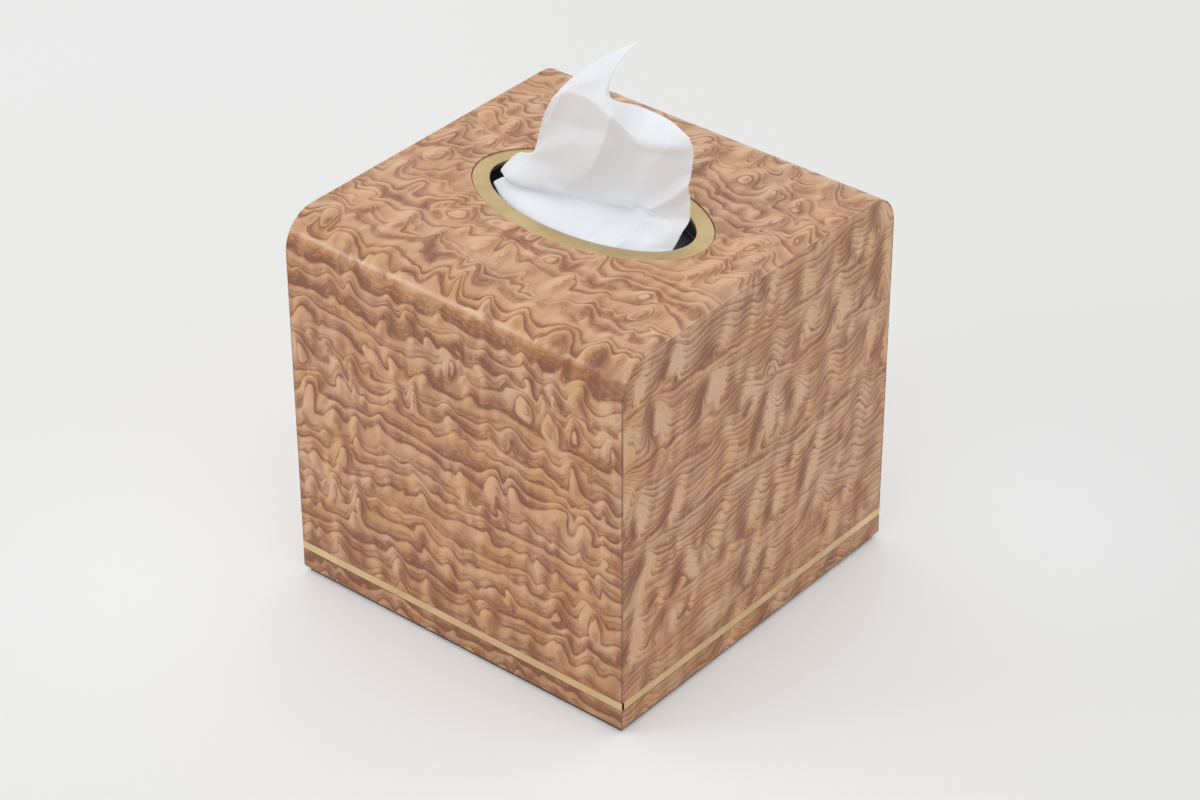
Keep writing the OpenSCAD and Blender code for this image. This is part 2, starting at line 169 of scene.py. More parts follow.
class Wiring:
    """Lays nodes in one tree. A value is a number, a colour, a vector or another node's output."""

    def __init__(self, tree):
        self.tree = tree

    def feed(self, socket, value):
        if isinstance(value, bpy.types.NodeSocket):
            self.tree.links.new(value, socket)
        elif socket.type == "RGBA" and len(value) == 3:
            socket.default_value = (*value, 1.0)
        else:
            socket.default_value = value

    def feeds(self, sockets, **values):
        """Feeds sockets by their names, which have _ for a space here."""
        for name, value in values.items():
            self.feed(sockets[name.replace("_", " ")], value)

    def node(self, kind, inputs=None, **settings):
        made = self.tree.nodes.new(kind)
        for name, value in settings.items():
            setattr(made, name, value)
        for name, value in (inputs or {}).items():
            self.feed(made.inputs[name], value)
        return made

    def group(self, tree, **values):
        """Places a node group with its values and returns its outputs."""
        made = self.node("ShaderNodeGroup", node_tree=tree)
        self.feeds(made.inputs, **values)
        return made.outputs

    def calc(self, operation, *values):
        return self.node("ShaderNodeMath", dict(enumerate(values)), operation=operation).outputs[0]

    def total(self, *values):
        """Sum of the values."""
        out = values[0]
        for value in values[1:]:
            out = self.calc("ADD", out, value)
        return out

    def scaled(self, value, factor):
        return self.calc("MULTIPLY", value, factor)

    def less(self, value, other):
        return self.calc("SUBTRACT", value, other)

    def ratio(self, value, other):
        return self.calc("DIVIDE", value, other)

    def place(self, x, y, z=0.0):
        return self.node("ShaderNodeCombineXYZ", {"X": x, "Y": y, "Z": z}).outputs[0]

    def parts(self, vector):
        made = self.node("ShaderNodeSeparateXYZ", {"Vector": vector})
        return made.outputs["X"], made.outputs["Y"], made.outputs["Z"]

    def object_place(self):
        return self.node("ShaderNodeTexCoord").outputs["Object"]

    def cloud(self, vector, scale=1.0, detail=0.0, roughness=0.5):
        return self.node("ShaderNodeTexNoise", {"Vector": vector, "Scale": scale, "Detail": detail,
                                                "Roughness": roughness}).outputs[0]

    def span(self, value, low, high, to_low=0.0, to_high=1.0):
        """Maps low to high softly on to two other values, held at both ends."""
        return self.node("ShaderNodeMapRange", {"Value": value, "From Min": low, "From Max": high,
                                                "To Min": to_low, "To Max": to_high},
                         interpolation_type="SMOOTHSTEP").outputs[0]

    def mixed(self, share, first, second, blend="MIX"):
        """Colour between two colours."""
        return self.node("ShaderNodeMix", {0: share, 6: first, 7: second}, data_type="RGBA",
                         blend_type=blend).outputs[2]

    def toned(self, share, first, second):
        """First colour multiplied by the second, by a share."""
        return self.mixed(share, first, second, "MULTIPLY")

    def greyed(self, tone, value):
        """Colour multiplied by a grey value."""
        grey = self.node("ShaderNodeCombineColor", {"Red": value, "Green": value, "Blue": value})
        return self.toned(1.0, tone, grey.outputs[0])

    def ramp(self, value, stops, interpolation="LINEAR"):
        """Colour ramp of (place, colour) stops; a number stands for a grey."""
        made = self.node("ShaderNodeValToRGB", {"Fac": value})
        elements = made.color_ramp.elements
        made.color_ramp.interpolation = interpolation
        while len(elements) < len(stops):
            elements.new(1.0)
        for element, (at, tone) in zip(elements, stops):
            element.position = at
            element.color = (*tone, 1.0) if hasattr(tone, "__len__") else (tone, tone, tone, 1.0)
        return made.outputs["Color"]


SOCKET_KINDS = {"Place": "NodeSocketVector", "Color": "NodeSocketColor"}


def new_group(name, inputs, outputs):
    """Node group with named sockets. Returns its tree, its wiring, its inputs and its outputs."""
    tree = bpy.data.node_groups.new(name, "ShaderNodeTree")
    for names, way in ((inputs, "INPUT"), (outputs, "OUTPUT")):
        for socket in names:
            kind = SOCKET_KINDS.get(socket, "NodeSocketFloat")
            tree.interface.new_socket(socket, in_out=way, socket_type=kind)
    w = Wiring(tree)
    return tree, w, w.node("NodeGroupInput").outputs, w.node("NodeGroupOutput").inputs


def new_material(name, **values):
    """Material with a Principled shader. Returns it, its wiring and the shader's inputs."""
    material = bpy.data.materials.new(name)
    material.use_nodes = True
    w = Wiring(material.node_tree)
    shader = next(n for n in material.node_tree.nodes if n.type == "BSDF_PRINCIPLED").inputs
    w.feeds(shader, **values)
    return material, w, shader


def bumped(w, shader, height, strength, distance):
    bump = w.node("ShaderNodeBump", {"Height": height, "Strength": strength, "Distance": distance})
    w.feeds(shader, Normal=bump.outputs[0])


def give(obj, material):
    """Puts one material in an object's slots."""
    obj.data.materials.clear()
    obj.data.materials.append(material)


def give_nodes(material, *names):
    """Puts one material on CAD nodes."""
    for name in names:
        give(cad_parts[name], material)


# Figured veneer

def dome_group():
    """Scattered domes that the rings drape over: steep below, with a long tail above, in mm. The second
    output, signed across each dome, feeds the painted light and shade on its sides.
    """
    tree, w, given, result = new_group(
        "Veneer domes", ("Along", "Up", "Shift", "Cell Width", "Cell Height", "Height", "Width", "Tail",
                         "Foot"), ("Height", "Flank"))
    across = w.total(w.ratio(given["Along"], given["Cell Width"]), given["Shift"])
    up = w.total(w.ratio(given["Up"], given["Cell Height"]), given["Shift"])
    spot = w.place(across, up)
    cell, border = (w.node("ShaderNodeTexVoronoi", {"Vector": spot, "Scale": 1.0, "Randomness": 0.8},
                           voronoi_dimensions="2D", feature=feature).outputs
                    for feature in ("F1", "DISTANCE_TO_EDGE"))
    mid_across, mid_up, _ = w.parts(cell["Position"])
    from_axis = w.scaled(w.less(across, mid_across), given["Cell Width"])
    above = w.scaled(w.less(up, mid_up), given["Cell Height"])
    chances = w.node("ShaderNodeSeparateColor", {"Color": cell["Color"]}).outputs

    def chance(channel, least, spread):
        """A value of each cell's own, from the least to a spread above it."""
        return w.total(least, w.scaled(chances[channel], spread))

    width = w.scaled(given["Width"], chance("Red", 0.7, 0.6))
    height = w.scaled(given["Height"], chance("Green", 0.2, 0.9))
    foot = w.scaled(height, chance("Blue", given["Foot"], 0.9))
    offset = w.ratio(from_axis, width)
    bell = w.calc("EXPONENT", w.scaled(w.scaled(offset, offset), -1.0))
    rise = w.span(above, w.scaled(foot, -1.0), 0.0)
    fall = w.span(above, 0.0, given["Tail"], 1.0, 0.0)
    body = w.scaled(w.scaled(bell, w.scaled(rise, fall)), w.span(border["Distance"], 0.01, 0.2))
    w.feeds(result, Height=w.scaled(body, height), Flank=w.scaled(body, offset))
    return tree


# Flank Depth and Streaks set the strength of the painted light and shade for the wood's shimmer
FIGURE_INPUTS = (
    "Along", "Up", "Rings", "Density", "Cell Width", "Cell Height", "Dome Height", "Dome Width",
    "Dome Tail", "Dome Foot", "Small Domes", "Swirl", "Wander", "Lean", "Ripple", "Uneven",
    "Softness", "Lines", "Line Depth", "Shade Depth", "Flank Depth", "Streaks", "Calm",
    "Calm Shade", "Warm", "Seed")
# Depth of the plain wood, before a ring's shade is added
PLAIN_DEPTH = 0.21


def figure_group(settings):
    """Growth rings sliced nearly flat: bands draped over domes, all in millimetres and rings. Painted light
    and shade stand in for the wood's shimmer: dark and pale dome sides, pale dome tops and streaky patches.
    """
    tree, w, given, result = new_group("Figured veneer", FIGURE_INPUTS, ("Color", "Shade", "Height"))
    along, up, seed = given["Along"], given["Up"], given["Seed"]
    calm, softness = given["Calm"], given["Softness"]

    def field(wide, tall, shift, x=along, y=up, **how):
        """Cloud from 0 to 1 whose patches are about so wide along x and so tall along y."""
        return w.cloud(w.place(w.ratio(x, wide), w.ratio(y, tall), w.total(seed, shift)), **how)

    def centred(*patch, **how):
        return w.less(field(*patch, **how), 0.5)

    def pushed(name, reach, *patch, **how):
        """Push up or down by a cloud, as strong as one of the inputs times its reach."""
        return w.scaled(centred(*patch, **how), w.scaled(given[name], reach))

    wobble = w.scaled(centred(26, 22, 3), 7.0)
    sway = w.scaled(centred(17, 26, 5), 8.0)
    leaned = w.total(along, w.scaled(up, given["Lean"]), wobble)
    swayed = w.total(up, sway)
    activity = w.scaled(w.span(field(40, 34, 83), 0.34, 0.56, 0.5, 1.2),
                        w.less(1.0, w.scaled(calm, 0.4)))
    dome_tree = dome_group()

    def domes(shift, share, height_share):
        made = w.group(dome_tree, Along=leaned, Up=swayed, Shift=w.total(seed, shift),
                       Cell_Width=w.scaled(given["Cell Width"], share),
                       Cell_Height=w.scaled(given["Cell Height"], share),
                       Height=w.scaled(given["Dome Height"], height_share),
                       Width=w.scaled(given["Dome Width"], share),
                       Tail=w.scaled(given["Dome Tail"], share), Foot=given["Dome Foot"])
        return w.scaled(made["Height"], activity), w.scaled(made["Flank"], activity)

    broad_height, broad_painted_flank_shade = domes(0.3, 1.0, 1.0)
    small_height, small_painted_flank_shade = domes(7.7, 0.62, given["Small Domes"])
    moved = w.total(pushed("Wander", 2.4, 38, 55, 0, detail=1.6), broad_height, small_height,
                    pushed("Swirl", 4.0, 12, 16, 7, detail=0.5),
                    pushed("Ripple", 2.0, 4, 7, 21, detail=2.5))
    level = w.less(given["Rings"], w.scaled(moved, given["Density"]))
    rings = w.total(level, pushed("Uneven", 2.0, 1.35, 1, 29, x=level, y=0.0))
    across = w.calc("FRACT", rings)
    kind = w.span(w.node("ShaderNodeTexWhiteNoise", {"W": w.calc("FLOOR", rings)},
                         noise_dimensions="1D").outputs["Value"], 0.3, 0.8)

    # From the ring's sharp lower line up to the pale wood under the next one
    strong = w.ramp(across, [(0.0, 0.9), (0.1, 0.92), (0.2, 0.62), (0.38, 0.5), (0.54, 0.3),
                             (0.72, 0.08), (0.86, 0.0), (0.93, 0.14), (1.0, 0.86)])
    weak = w.ramp(across, [(0.0, 0.68), (0.08, 0.7), (0.17, 0.34), (0.3, 0.26), (0.38, 0.22),
                           (0.45, 0.46), (0.52, 0.44), (0.6, 0.2), (0.76, 0.04), (0.92, 0.08),
                           (1.0, 0.6)])
    soft = w.ramp(across, [(0.0, 0.62), (0.12, 0.9), (0.3, 0.66), (0.5, 0.3), (0.7, 0.05),
                           (0.86, 0.04), (1.0, 0.62)], "EASE")
    sharp = w.total(w.scaled(strong, w.less(1.0, kind)), w.scaled(weak, kind))
    shade = w.total(w.scaled(sharp, w.less(1.0, softness)),
                    w.scaled(w.scaled(soft, w.less(1.0, w.scaled(kind, 0.5))), softness))
    patch = field(12, 1.25, 37, y=rings, detail=1.0)
    shade = w.scaled(shade, w.span(patch, 0.28, 0.72, 0.6, 1.15))

    # Fine lines and pores along the rings, then painted light and shade for the wood's shimmer: dark and
    # pale dome sides, pale dome tops, streaky patches
    packed = w.scaled(rings, given["Lines"])
    line = centred(7, 1, 41, y=packed, detail=1.6, roughness=0.6)
    pore = centred(2.2, 0.5, w.total(w.ratio(up, 2.4), 47), y=packed, detail=1.2)
    lines = w.scaled(line, w.total(0.12, w.scaled(shade, 1.2)))
    pores = w.scaled(pore, w.scaled(shade, 2.2))
    fine = w.scaled(w.total(lines, pores), given["Line Depth"])
    # Painted shade on one side of each dome and painted light on the other
    painted_flank_shade = w.scaled(w.total(broad_painted_flank_shade, w.scaled(small_painted_flank_shade, 0.6)), given["Flank Depth"])
    # Painted highlight: the dome tops are paler
    painted_crown_highlight = w.scaled(w.ratio(w.total(broad_height, small_height), given["Dome Height"]), -0.14)
    # Painted light and shade in streaky patches, standing in for the wood's shimmer
    slanted = w.total(along, w.scaled(up, w.scaled(given["Lean"], 1.6)))
    painted_shimmer_patch = field(5, 26, 53, x=slanted, detail=2.0)
    painted_shimmer = w.scaled(w.span(painted_shimmer_patch, 0.3, 0.7, -1.0, 1.0), given["Streaks"])
    cloudy = w.scaled(centred(17, 14, 61, detail=2.0), 0.5)
    fibre = w.scaled(centred(1, 0.4, 71, detail=2.0), 0.3)
    depth = w.total(w.scaled(shade, given["Shade Depth"]), fine, painted_flank_shade, painted_crown_highlight, painted_shimmer, cloudy,
                    fibre, w.scaled(calm, given["Calm Shade"]), PLAIN_DEPTH)
    tone = w.ramp(depth, [(0.0, settings.pale), (0.3, settings.tan), (0.62, settings.brown),
                          (1.0, settings.dark)])
    warm = w.span(field(15, 18, 67, detail=1.5), 0.35, 0.7)
    w.feeds(result, Color=w.toned(w.scaled(warm, given["Warm"]), tone, settings.warmth),
            Shade=depth, Height=w.scaled(w.total(pores, w.scaled(shade, 0.3)), -1.0))
    return tree


def wrap_group(settings):
    """Unrolls the wrapped veneer: up runs from the foot of the front over the top and down the back."""
    tree, w, given, result = new_group("Unrolled wrap", ("Place", "Front Density", "Top Climb"),
                                       ("Along", "Up", "Rings", "Top"))
    radius = settings.edge_radius
    bend_y, bend_z = COVER_HIGH.y - radius, COVER_HIGH.z - radius
    x, y, z = w.parts(given["Place"])
    held_y = w.calc("MAXIMUM", w.calc("MINIMUM", y, bend_y), -bend_y)
    held_z = w.calc("MINIMUM", z, bend_z)
    turn = w.calc("ARCTAN2", w.less(z, held_z), w.less(held_y, y))
    side = w.calc("SIGN", w.scaled(y, -1.0))
    upright = w.total(bend_z, w.scaled(w.less(held_z, bend_z), side), w.scaled(turn, radius))
    along_top = w.total(held_y, bend_y)
    w.feeds(result, Along=w.scaled(x, 1 / MM), Up=w.scaled(w.total(upright, along_top), 1 / MM),
            Rings=w.total(w.scaled(w.scaled(upright, 1 / MM), given["Front Density"]),
                          w.scaled(w.scaled(along_top, 1 / MM), given["Top Climb"])),
            Top=w.span(w.calc("ABSOLUTE", w.less(turn, math.pi / 2)), 0.1, 1.4, 1.0, 0.0))
    return tree


def corner_lines(w, place):
    """Shares of two thin lines: a dark seam down the upright corners that also paints shade in the gap below
    the brass line, and a pale cut edge along the top end edges that is partly a painted highlight where the
    edge catches light."""
    x, y, z = w.parts(place)
    from_side = w.less(COVER_HIGH.x, w.calc("ABSOLUTE", x))
    from_front = w.less(COVER_HIGH.y, w.calc("ABSOLUTE", y))
    from_top = w.less(COVER_HIGH.z, z)
    from_line = w.calc("ABSOLUTE", w.less(z, LINE_FOOT))
    corner = w.span(w.calc("MAXIMUM", from_side, from_front), 0.2 * MM, 0.5 * MM, 0.8, 0.0)
    # Painted shade in the gap below the brass line
    painted_gap_shade = w.span(from_line, 0.15 * MM, 0.45 * MM, 0.8, 0.0)
    return (w.calc("MAXIMUM", corner, painted_gap_shade),
            # Pale top cut edge, partly a painted highlight
            w.span(w.calc("MAXIMUM", from_side, from_top), 0.1 * MM, 0.3 * MM, 0.5, 0.0))


def veneer_material(name, figure, mapping, settings, **figures):
    """Lacquered veneer. The mapping gives along, up, rings and the top's share; a pair of values
    runs from the upright faces to the top."""
    material, w, shader = new_material(name, Roughness=settings.roughness, Specular_IOR_Level=0.5,
                                       Coat_Weight=0.4, Coat_Roughness=0.22)
    place = w.object_place()
    along, up, rings, top = mapping(w, place)
    calm = w.span(w.parts(place)[2], 0.2 * settings.calm, settings.calm, 1.0, 0.0)
    for key, value in figures.items():
        if isinstance(value, tuple):
            figures[key] = w.span(top, 0.0, 1.0, *value)
    made = w.group(figure, Along=along, Up=up, Rings=rings, Calm=calm, **figures)
    seam, top_edge_and_painted_highlight = corner_lines(w, place)
    # Painted shade below the brass line and a painted highlight on the top edge are mixed in here
    tone = w.mixed(top_edge_and_painted_highlight, w.mixed(seam, made["Color"], settings.edge), settings.top_edge_with_painted_highlight)
    w.feeds(shader, Base_Color=tone,
            Roughness=w.total(settings.roughness, w.scaled(made["Shade"], 0.2)))
    bumped(w, shader, made["Height"], 0.35, 0.2 * MM)
    return material


def veneer_materials(settings):
    """Veneer of the wrapped sheet with its rails, and of the two ends with theirs."""
    figure, unrolled = figure_group(settings), wrap_group(settings)
    # Rings in a millimetre, up the front, over the top and up the ends
    front, top, end = 1 / 6.4, 1 / 4.0, 1 / 2.6

    def wrapped(w, place):
        made = w.group(unrolled, Place=place, Front_Density=front, Top_Climb=0.8 * top)
        return made["Along"], made["Up"], made["Rings"], made["Top"]

    def upright(w, place):
        _, y, z = w.parts(place)
        up = w.scaled(z, 1 / MM)
        return w.scaled(y, 1 / MM), up, w.scaled(up, end), 0.0

    return (
        # Flank_Depth and Streaks below are painted light and shade on the domes
        veneer_material("Wrapped veneer", figure, wrapped, settings, Seed=2.0, Density=(front, top),
                        Cell_Width=13.0, Cell_Height=17.5, Dome_Height=(8.5, 10.0), Dome_Width=3.5,
                        Dome_Tail=(14.0, 12.0), Dome_Foot=(1.25, 1.1), Small_Domes=(0.4, 0.35),
                        Swirl=(0.8, 2.4), Wander=(7.0, 8.0), Ripple=(0.45, 0.35),
                        Uneven=(0.55, 0.8), Softness=(0.15, 0.8), Lines=6.0,
                        Line_Depth=(0.85, 0.55), Shade_Depth=(0.97, 0.68), Flank_Depth=(0.7, 0.55),
                        # The top's smaller Warm share is a painted cool sheen over the wood's own warm
                        # patches
                        Streaks=0.1, Calm_Shade=0.15, Warm=(1.0, 0.6)),
        # A negative Flank_Depth puts the painted shade on the other side of each dome
        veneer_material("End veneer", figure, upright, settings, Seed=11.0, Density=end,
                        Cell_Width=19.0, Cell_Height=26.0, Dome_Height=10.0, Dome_Width=4.8,
                        Dome_Tail=17.0, Dome_Foot=1.25, Small_Domes=0.35, Swirl=1.0, Wander=6.0,
                        Lean=-0.2, Ripple=0.45, Uneven=0.75, Softness=0.5, Lines=3.0,
                        Line_Depth=0.65, Shade_Depth=0.65, Flank_Depth=-1.1, Streaks=0.12,
                        Calm_Shade=0.06, Warm=1.0))


# Modelling by operators

def start(obj):
    """Makes one object the only selected and active one."""
    bpy.ops.object.select_all(action="DESELECT")
    obj.select_set(True)
    bpy.context.view_layer.objects.active = obj


def applied(obj, kind, **values):
    """Adds a modifier with the given values and applies it."""
    start(obj)
    modifier = obj.modifiers.new(kind.title(), kind)
    for key, value in values.items():
        setattr(modifier, key, value)
    bpy.ops.object.modifier_apply(modifier=modifier.name)


def primitive(kind, name, stretch, **values):
    """Adds a primitive, stretches it by a factor along each axis and puts its place in its mesh."""
    bpy.ops.object.select_all(action="DESELECT")
    getattr(bpy.ops.mesh, "primitive_" + kind + "_add")(**values)
    obj = bpy.context.object
    obj.name = name
    obj.data.name = name
    obj.scale = stretch
    start(obj)
    bpy.ops.object.transform_apply(location=True, rotation=True, scale=True)
    return obj


def add_block(name, low, high):
    """Cube primitive between two corners."""
    low, high = Vector(low), Vector(high)
    return primitive("cube", name, high - low, size=1, location=(low + high) / 2)


def edit(obj):
    start(obj)
    bpy.ops.object.mode_set(mode="EDIT")


def object_mode():
    bpy.ops.object.mode_set(mode="OBJECT")


def pick(obj, chosen, kind="FACE"):
    """In edit mode, selects the faces or edges that the test chooses."""
    bpy.ops.mesh.select_mode(type=kind)
    bpy.ops.mesh.select_all(action="DESELECT")
    mesh = bmesh.from_edit_mesh(obj.data)
    mesh.normal_update()
    for item in (mesh.faces if kind == "FACE" else mesh.edges):
        item.select_set(bool(chosen(item)))
    mesh.select_flush_mode()
    bmesh.update_edit_mesh(obj.data)


def run_along(edge, axis):
    """How far an edge runs along one axis."""
    return abs(edge.verts[0].co[axis] - edge.verts[1].co[axis])


def cut_oval(obj, half_length, half_width, middle, reach):
    """Cuts an upright oval hole, to a reach above and below its middle."""
    cutter = primitive("cylinder", "oval_cutter", (half_length, half_width, 2 * reach),
                       vertices=OVAL_SIDES, radius=1, depth=1, location=(0, 0, middle))
    applied(obj, "BOOLEAN", object=cutter, operation="DIFFERENCE", solver="EXACT")
    bpy.data.objects.remove(cutter)


def break_edges(obj, width):
    applied(obj, "BEVEL", width=width, segments=2, limit_method="ANGLE",
            angle_limit=math.radians(50))


def smooth_by_angle(obj, degrees):
    start(obj)
    bpy.ops.object.shade_smooth_by_angle(angle=math.radians(degrees))


def smooth_firmly(obj, degrees):
    """Smooths a piece with narrow broken edges, whose broad faces keep their own direction."""
    smooth_by_angle(obj, degrees)
    applied(obj, "WEIGHTED_NORMAL", keep_sharp=True, weight=100)


def finish_piece(obj, body, material, node):
    """Gives a new piece its material and body, and hides the CAD node that it stands for."""
    give(obj, material)
    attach(obj, body)
    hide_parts(node)
    return obj


# Pieces

def build_wrap(settings):
    """One veneer over the front, top and back, with quarter-round edges and the oval hole."""
    obj = add_block("wrap_veneer_sheet", COVER_LOW, COVER_HIGH)
    near, ring_gap, reach = 0.01 * MM, 0.2 * MM, 4 * MM
    edit(obj)
    pick(obj, lambda e: all(v.co.z > COVER_HIGH.z - near for v in e.verts)
         and run_along(e, 1) < near, "EDGE")
    bpy.ops.mesh.bevel(offset=settings.edge_radius, segments=24, profile=0.5)
    pick(obj, lambda f: abs(f.normal.x) > 0.9 or f.normal.z < -0.9)
    bpy.ops.mesh.delete(type="FACE")
    object_mode()
    applied(obj, "SOLIDIFY", thickness=settings.thickness, offset=-1, use_even_offset=True)
    cut_oval(obj, RING_HIGH.x + ring_gap, RING_HIGH.y + ring_gap, COVER_HIGH.z, reach)
    break_edges(obj, settings.arris)
    smooth_firmly(obj, 30)
    return obj


def build_ring(settings):
    """Flat oval brass band with broken edges."""
    middle = (0, 0, (RING_HIGH.z + RING_LOW.z) / 2)
    inner = ((RING_HIGH.x - settings.band) / RING_HIGH.x, (RING_HIGH.y - settings.band) / RING_HIGH.y, 1)
    obj = primitive("circle", "brass_oval_ring", (RING_HIGH.x, RING_HIGH.y, 1), vertices=OVAL_SIDES,
                    radius=1, fill_type="NOTHING", location=middle)
    edit(obj)
    bpy.ops.mesh.select_all(action="SELECT")
    bpy.ops.mesh.extrude_edges_move()
    bpy.ops.transform.resize(value=inner, center_override=middle)
    bpy.ops.mesh.select_all(action="SELECT")
    bpy.ops.mesh.normals_make_consistent(inside=False)
    object_mode()
    applied(obj, "SOLIDIFY", thickness=RING_HIGH.z - RING_LOW.z, offset=0)
    break_edges(obj, settings.chamfer)
    smooth_by_angle(obj, 30)
    return obj


def build_felt(name, low, high, strip=0.0):
    """Felt pad with soft edges, or a felt frame when a strip width is given."""
    obj = add_block(name, low, high)
    if strip:
        edit(obj)
        pick(obj, lambda f: abs(f.normal.z) > 0.9)
        bpy.ops.mesh.inset(thickness=strip, depth=0)
        bpy.ops.mesh.bridge_edge_loops()
        object_mode()
    break_edges(obj, 0.25 * MM)
    smooth_by_angle(obj, 40)
    return obj


def build_carton(settings):
    """Dark card carton: broken edges, the slot, a closing flap on each end and a glued back seam."""
    obj = add_block("refill_carton", CARTON_LOW, CARTON_HIGH)
    edit(obj)
    bpy.ops.mesh.select_all(action="SELECT")
    bpy.ops.mesh.bevel(offset=0.5 * MM, segments=3, profile=0.5)
    object_mode()
    applied(obj, "SOLIDIFY", thickness=settings.card, offset=-1)
    cut_oval(obj, SLOT_HALF_LENGTH, SLOT_HALF_WIDTH, CARTON_HIGH.z, 5 * MM)
    inset, sunk, proud, seam = 0.8 * MM, 0.3 * MM, 0.45 * MM, 13 * MM
    flap_low = CARTON_LOW.z + 0.36 * (CARTON_HIGH.z - CARTON_LOW.z)
    x, y, top = CARTON_HIGH.x, CARTON_HIGH.y, CARTON_HIGH.z - inset
    layers = [add_block("end_flap", (x - sunk, inset - y, flap_low), (x + proud, y - inset, top)),
              add_block("end_flap", (-x - proud, inset - y, flap_low), (sunk - x, y - inset, top)),
              add_block("back_seam", (inset - x, y - sunk, CARTON_LOW.z + inset),
                        (seam - x, y + proud, top))]
    for layer in layers:
        applied(layer, "BEVEL", width=0.2 * MM, segments=2)
    start(obj)
    for layer in layers:
        layer.select_set(True)
    bpy.ops.object.join()
    smooth_firmly(obj, 35)
    return obj


def build_stack(settings):
    """Stack of folded sheets: its front and back show the rounded folds of each layer."""
    layers = settings.layers
    pitch = (STACK_HIGH.z - STACK_LOW.z) / layers
    obj = add_block("folded_sheets", STACK_LOW, STACK_HIGH)
    edit(obj)
    pick(obj, lambda e: run_along(e, 2) > MM, "EDGE")
    bpy.ops.mesh.subdivide(number_cuts=layers * 4 - 1)
    pick(obj, lambda e: run_along(e, 0) > MM, "EDGE")
    bpy.ops.mesh.subdivide(number_cuts=11)
    object_mode()
    for vertex in obj.data.vertices:
        co = vertex.co
        layer = math.floor((co.z - STACK_LOW.z) / pitch + 1e-4)
        within = (co.z - STACK_LOW.z) / pitch - layer
        drift = 0.6 + noise.noise(Vector((layer * 0.7, co.x * 22, 3.0)))
        fold = abs(math.cos(math.pi * within)) ** 3
        if abs(co.y) > STACK_HIGH.y - MM:
            co.y -= math.copysign((0.35 * fold + 0.45 * drift) * MM, co.y)
        if abs(co.x) > STACK_HIGH.x - MM:
            co.x -= math.copysign((0.2 * fold + 0.3 * drift) * MM, co.x)
    smooth_by_angle(obj, 60)
    return obj


# Drawn tissue

# Rows of places from the foot up, each from the left edge to the right edge: shares of the slot's
# half length, its half width, and the depth below the top face.
FOOT_SHARES = [
    [(-0.90, 0.00, -1.00), (-0.60, 0.12, -1.00), (-0.30, -0.10, -1.00), (0.00, 0.08, -1.00),
     (0.30, -0.12, -1.00), (0.60, 0.10, -1.00), (0.90, 0.00, -1.00)],
    [(-0.90, -0.02, -0.70), (-0.60, -0.15, -0.70), (-0.30, 0.05, -0.70), (0.00, -0.20, -0.70),
     (0.30, 0.00, -0.70), (0.60, -0.20, -0.70), (0.90, 0.00, -0.70)],
    [(-0.94, -0.14, -0.42), (-0.63, -0.45, -0.42), (-0.32, -0.45, -0.42), (0.00, -0.66, -0.42),
     (0.32, -0.46, -0.42), (0.63, -0.50, -0.42), (0.94, -0.10, -0.42)]]
# The same for the opening: its half length, its half width and the depth below the top face.
APRON_SHARES = [
    [(-0.90, -0.38, -0.13), (-0.67, -0.65, -0.16), (-0.34, -0.85, -0.17), (0.00, -0.91, -0.17),
     (0.34, -0.87, -0.17), (0.66, -0.67, -0.16), (0.90, -0.30, -0.13)],
    [(-0.90, -0.24, -0.07), (-0.66, -0.45, -0.08), (-0.34, -0.54, -0.08), (0.00, -0.50, -0.08),
     (0.34, -0.46, -0.07), (0.69, -0.48, -0.04), (0.93, -0.18, -0.06)],
    [(-0.85, -0.14, -0.04), (-0.58, -0.17, -0.05), (-0.30, -0.10, -0.05), (-0.03, 0.04, -0.05),
     (0.31, 0.30, -0.05), (0.67, -0.24, 0.00), (0.95, -0.02, 0.05)]]
# Above the top face, the last share is of the sheet's rise.
STANDING_SHARES = [
    [(-0.88, -0.25, 0.03), (-0.71, -0.39, 0.02), (-0.39, -0.26, 0.035), (-0.09, -0.10, 0.05),
     (0.31, 0.16, 0.04), (0.59, 0.09, 0.09), (0.97, 0.12, 0.13)],
    [(-0.77, -0.04, 0.14), (-0.60, -0.09, 0.14), (-0.33, -0.16, 0.17), (0.03, -0.13, 0.23),
     (0.33, 0.15, 0.21), (0.63, 0.13, 0.26), (0.93, 0.26, 0.32)],
    [(-0.64, 0.02, 0.15), (-0.44, -0.10, 0.28), (-0.20, -0.11, 0.31), (0.13, -0.10, 0.39),
     (0.37, 0.17, 0.31), (0.67, 0.12, 0.39), (0.94, 0.26, 0.44)],
    [(-0.48, -0.08, 0.46), (-0.32, -0.04, 0.46), (-0.07, -0.04, 0.47), (0.19, -0.08, 0.52),
     (0.40, 0.15, 0.42), (0.70, 0.14, 0.47), (0.95, 0.27, 0.51)],
    [(-0.38, -0.06, 0.59), (-0.22, -0.05, 0.68), (0.01, -0.06, 0.69), (0.24, -0.06, 0.63),
     (0.42, 0.12, 0.51), (0.72, 0.14, 0.55), (0.94, 0.27, 0.57)],
    [(-0.20, 0.08, 0.77), (-0.07, 0.03, 0.77), (0.05, 0.05, 0.74), (0.17, 0.06, 0.70),
     (0.31, 0.50, 0.62), (0.63, 0.44, 0.63), (0.89, 0.30, 0.60)],
    [(0.00, 0.46, 0.90), (0.04, 0.31, 0.85), (0.09, 0.19, 0.79), (0.14, 0.13, 0.69),
     (0.28, 0.72, 0.53), (0.58, 0.68, 0.52), (0.77, 0.54, 0.49)],
    [(0.22, 0.70, 1.00), (0.18, 0.41, 0.94), (0.14, 0.23, 0.85), (0.10, 0.24, 0.68),
     (0.23, 0.83, 0.35), (0.51, 0.81, 0.31), (0.68, 0.71, 0.28)]]
# The row that breaks sharply, the column that does between its two rows, and the column from which
# the row's break is soft
CREASE_ROW = 10
CREASE_COLUMN, CREASE_FROM, CREASE_TO = 3, 7, 10
CREASE_SOFT = 4.4
# Points of the sheet's mesh across and up
ACROSS, UPWARD = 109, 196
